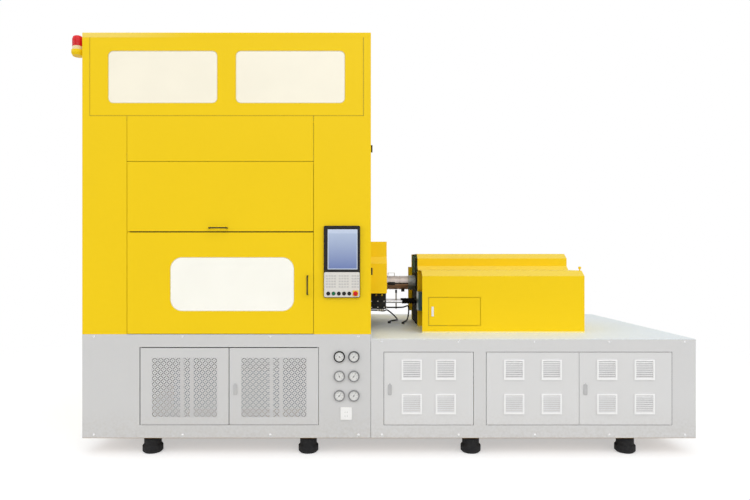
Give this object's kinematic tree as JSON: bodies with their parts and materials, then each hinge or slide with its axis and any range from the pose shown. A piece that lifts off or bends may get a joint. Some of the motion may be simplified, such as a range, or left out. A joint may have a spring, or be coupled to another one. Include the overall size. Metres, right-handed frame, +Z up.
{
  "type": "blow moulding machine",
  "caption": "One-step injection stretch blow moulding machine: guarded tower with rotary table and clamp beside a covered injection unit, on one sheet-metal base with doors.",
  "frame": {"origin": "on the floor under the middle of the whole machine's box", "axes": "+X along the base from the tower to the injection end, +Y from the front to the back, +Z up"},
  "size_m": [5.522, 2.35, 3.719],
  "materials": {
    "frame_paint": "satin dark grey paint",
    "grey_paint": "fine-textured light grey powder coat",
    "light_paint": "fine-textured pale grey powder coat",
    "deck_paint": "satin off-white paint with a cool tint",
    "yellow_paint": "semi-gloss yellow powder coat",
    "bed_steel": "ground steel",
    "chromed_steel": "hard chromed and ground",
    "mount_rubber": "black moulded rubber with a black painted cap",
    "gauge_plastic": "moulded bezel round a white printed dial",
    "white_plastic": "white moulded plastic",
    "black_plastic": "black moulded plastic",
    "green_plastic": "green moulded plastic",
    "red_plastic": "red moulded plastic",
    "key_foil": "light grey foil over a yellow stop plate",
    "screen_glass": "glossy display",
    "clear_pane": "frosted clear polycarbonate",
    "beacon_red": "translucent red moulded plastic",
    "hydraulic_paint": "gloss blue-grey paint",
    "unit_paint": "dark teal machine enamel",
    "heater_metal": "heater bands browned by heat",
    "valve_metal": "black oxide",
    "hose_rubber": "black braided rubber hose"
  },
  "bodies": {
    "machine": {"base_frame": "frame_paint", "machine_bed": "bed_steel", "deck_plate": "deck_paint", "left_base_front_panel": "grey_paint", "right_base_front_panel": "light_paint", "base_end_panels": "light_paint", "base_rear_panels": "light_paint", "levelling_mounts": "mount_rubber", "pressure_gauges": "gauge_plastic", "socket_outlet": "white_plastic", "hydraulic_unit": "hydraulic_paint", "tower_frame": "yellow_paint", "tower_left_wall": "yellow_paint", "tower_right_wall": "yellow_paint", "tower_rear_wall": "yellow_paint", "tower_roof": "yellow_paint", "left_column_panel": "yellow_paint", "right_column_panel": "yellow_paint", "header_panel": "yellow_paint", "window_panel": "yellow_paint", "window_panes": "clear_pane", "control_housing": "black_plastic", "display_screen": "screen_glass", "key_panel": "key_foil", "beacon_base": "yellow_paint", "beacon_lens": "beacon_red", "nozzle_guard": "yellow_paint", "front_cover": "yellow_paint", "tall_cover": "yellow_paint", "injection_bed": "bed_steel", "valve_block": "valve_metal", "hose_1": "hose_rubber", "hose_2": "hose_rubber", "tie_bars": "chromed_steel", "clamp_head": "bed_steel"},
    "lift_door": {"lift_door": "yellow_paint", "lift_door_handle": "black_plastic"},
    "front_door": {"front_door": "yellow_paint", "front_door_window": "clear_pane", "front_door_handle": "black_plastic"},
    "injection_unit": {"injection_unit": "unit_paint", "barrel": "heater_metal"},
    "side_door": {"side_door": "yellow_paint"},
    "perforated_door_left": {"perforated_door_left": "grey_paint"},
    "perforated_door_right": {"perforated_door_right": "grey_paint"},
    "perforated_door_latch": {"perforated_door_latch": "black_plastic"},
    "base_door_1": {"base_door_1": "light_paint"},
    "base_door_1_latch": {"base_door_1_latch": "black_plastic"},
    "base_door_2": {"base_door_2": "light_paint"},
    "base_door_3": {"base_door_3": "light_paint"},
    "base_door_3_latch": {"base_door_3_latch": "black_plastic"},
    "cover_door": {"cover_door": "yellow_paint"},
    "button_1": {"button_1": "black_plastic"},
    "button_2": {"button_2": "green_plastic"},
    "button_3": {"button_3": "black_plastic"},
    "button_4": {"button_4": "black_plastic"},
    "button_5": {"button_5": "black_plastic"},
    "emergency_stop": {"emergency_stop": "red_plastic"},
    "rotary_table": {"rotary_table": "bed_steel"},
    "clamp_platen": {"clamp_platen": "bed_steel"}
  },
  "joints": [
    {"name": "lift_door_hinge", "type": "hinge", "parent": "machine", "child": "lift_door", "pos_m": [-1.4245, -1.115, 2.571], "axis": [-1, 0, 0], "range_deg": [0, 85]},
    {"name": "front_door_hinge", "type": "hinge", "parent": "machine", "child": "front_door", "pos_m": [-2.234, -1.115, 1.5], "axis": [0, 0, -1], "range_deg": [0, 100]},
    {"name": "side_door_hinge", "type": "hinge", "parent": "machine", "child": "side_door", "pos_m": [-0.0902, -1.032, 2.162], "axis": [0, 0, -1], "range_deg": [0, 100]},
    {"name": "perforated_door_left_hinge", "type": "hinge", "parent": "machine", "child": "perforated_door_left", "pos_m": [-2.121, -1.115, 0.605], "axis": [0, 0, -1], "range_deg": [0, 100]},
    {"name": "perforated_door_right_hinge", "type": "hinge", "parent": "machine", "child": "perforated_door_right", "pos_m": [-0.57, -1.115, 0.605], "axis": [0, 0, 1], "range_deg": [0, 100]},
    {"name": "perforated_door_latch_tilt", "type": "hinge", "parent": "perforated_door_right", "child": "perforated_door_latch", "pos_m": [-1.2915, -1.1283, 0.6265], "axis": [-1, 0, 0], "range_deg": [0, 30], "stiffness_Nm_per_rad": 0.2},
    {"name": "base_door_1_hinge", "type": "hinge", "parent": "machine", "child": "base_door_1", "pos_m": [0.793, -1.115, 0.584], "axis": [0, 0, 1], "range_deg": [0, 90]},
    {"name": "base_door_1_latch_tilt", "type": "hinge", "parent": "base_door_1", "child": "base_door_1_latch", "pos_m": [0.068, -1.1283, 0.6265], "axis": [-1, 0, 0], "range_deg": [0, 30], "stiffness_Nm_per_rad": 0.2},
    {"name": "base_door_2_hinge", "type": "hinge", "parent": "machine", "child": "base_door_2", "pos_m": [0.928, -1.115, 0.584], "axis": [0, 0, -1], "range_deg": [0, 90]},
    {"name": "base_door_3_hinge", "type": "hinge", "parent": "machine", "child": "base_door_3", "pos_m": [2.54, -1.115, 0.584], "axis": [0, 0, 1], "range_deg": [0, 100]},
    {"name": "base_door_3_latch_tilt", "type": "hinge", "parent": "base_door_3", "child": "base_door_3_latch", "pos_m": [1.788, -1.1283, 0.6265], "axis": [-1, 0, 0], "range_deg": [0, 30], "stiffness_Nm_per_rad": 0.2},
    {"name": "cover_door_hinge", "type": "hinge", "parent": "machine", "child": "cover_door", "pos_m": [0.942, -0.69, 1.223], "axis": [0, 0, 1], "range_deg": [0, 100]},
    {"name": "injection_unit_slide", "type": "slide", "parent": "machine", "child": "injection_unit", "axis": [1, 0, 0], "range_m": [0, 0.12]},
    {"name": "rotary_table_turn", "type": "hinge", "parent": "machine", "child": "rotary_table", "pos_m": [-1.3685, 0.025, 1.5], "axis": [0, 0, 1], "continuous": true},
    {"name": "clamp_platen_slide", "type": "slide", "parent": "machine", "child": "clamp_platen", "axis": [0, 0, 1], "range_m": [0, 0.45]},
    {"name": "button_1_push", "type": "slide", "parent": "machine", "child": "button_1", "axis": [0, 1, 0], "range_m": [0, 0.004], "stiffness_N_per_m": 300},
    {"name": "button_2_push", "type": "slide", "parent": "machine", "child": "button_2", "axis": [0, 1, 0], "range_m": [0, 0.004], "stiffness_N_per_m": 300},
    {"name": "button_3_push", "type": "slide", "parent": "machine", "child": "button_3", "axis": [0, 1, 0], "range_m": [0, 0.004], "stiffness_N_per_m": 300},
    {"name": "button_4_push", "type": "slide", "parent": "machine", "child": "button_4", "axis": [0, 1, 0], "range_m": [0, 0.004], "stiffness_N_per_m": 300},
    {"name": "button_5_push", "type": "slide", "parent": "machine", "child": "button_5", "axis": [0, 1, 0], "range_m": [0, 0.004], "stiffness_N_per_m": 300},
    {"name": "emergency_stop_push", "type": "slide", "parent": "machine", "child": "emergency_stop", "axis": [0, 1, 0], "range_m": [0, 0.005]}
  ]
}
